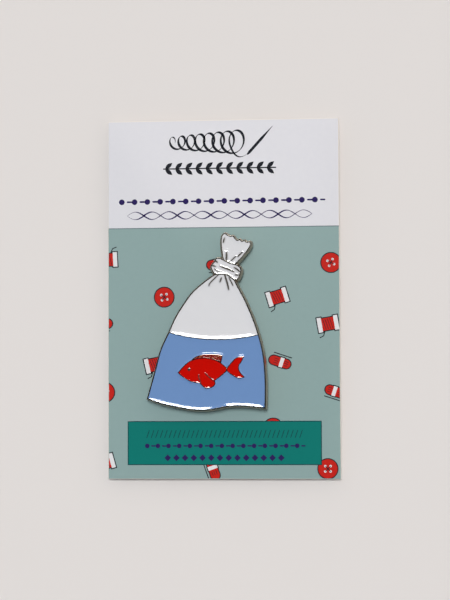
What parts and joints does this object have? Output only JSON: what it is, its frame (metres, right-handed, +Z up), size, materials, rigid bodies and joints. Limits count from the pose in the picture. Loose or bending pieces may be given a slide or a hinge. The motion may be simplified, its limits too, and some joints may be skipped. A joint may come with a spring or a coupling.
{
  "type": "needle minder",
  "caption": "Magnetic needle minder: soft-enamel badge shaped as a goldfish in a knotted bag of water, with a loose disc magnet, clamped on its display card.",
  "frame": {"origin": "centre of the loose magnet's outer face, on the magnets' common axis, where the part touches the table", "axes": "+Z up out of the enamelled front, +Y to the top of the card and the bag's ruffle, +X to the right seen from the front"},
  "size_m": [0.055, 0.085, 0.0055],
  "materials": {
    "dark_plating": "die-cast zinc alloy with polished dark nickel plating",
    "white_enamel": "glossy white soft enamel",
    "blue_enamel": "glossy light blue soft enamel",
    "red_enamel": "glossy red soft enamel",
    "glitter_enamel": "dark red soft enamel with gold glitter",
    "glue": "clear amber glue film",
    "magnet_nickel": "bright nickel plating on a sintered magnet",
    "printed_card": "smooth matt printed card"
  },
  "bodies": {
    "badge": {"base_plate": "dark_plating", "bag_enamel": "white_enamel", "knot_enamel": "white_enamel", "ruffle_enamel": "white_enamel", "water_enamel": "blue_enamel", "fish_body_enamel": "red_enamel", "fish_tail_enamel": "red_enamel", "dorsal_fin_enamel": "glitter_enamel", "magnet_glue": "glue", "badge_magnet": "magnet_nickel"},
    "card": {"display_card": "printed_card"},
    "back_magnet": {"loose_magnet": "magnet_nickel"}
  },
  "joints": [
    {"name": "magnet_pull", "type": "slide", "parent": "badge", "child": "back_magnet", "axis": [0, 0, -1], "range_m": [0, 0.025]},
    {"name": "card_swivel", "type": "hinge", "parent": "badge", "child": "card", "pos_m": [0, 0, 0.00168], "axis": [0, 0, 1], "continuous": true}
  ]
}
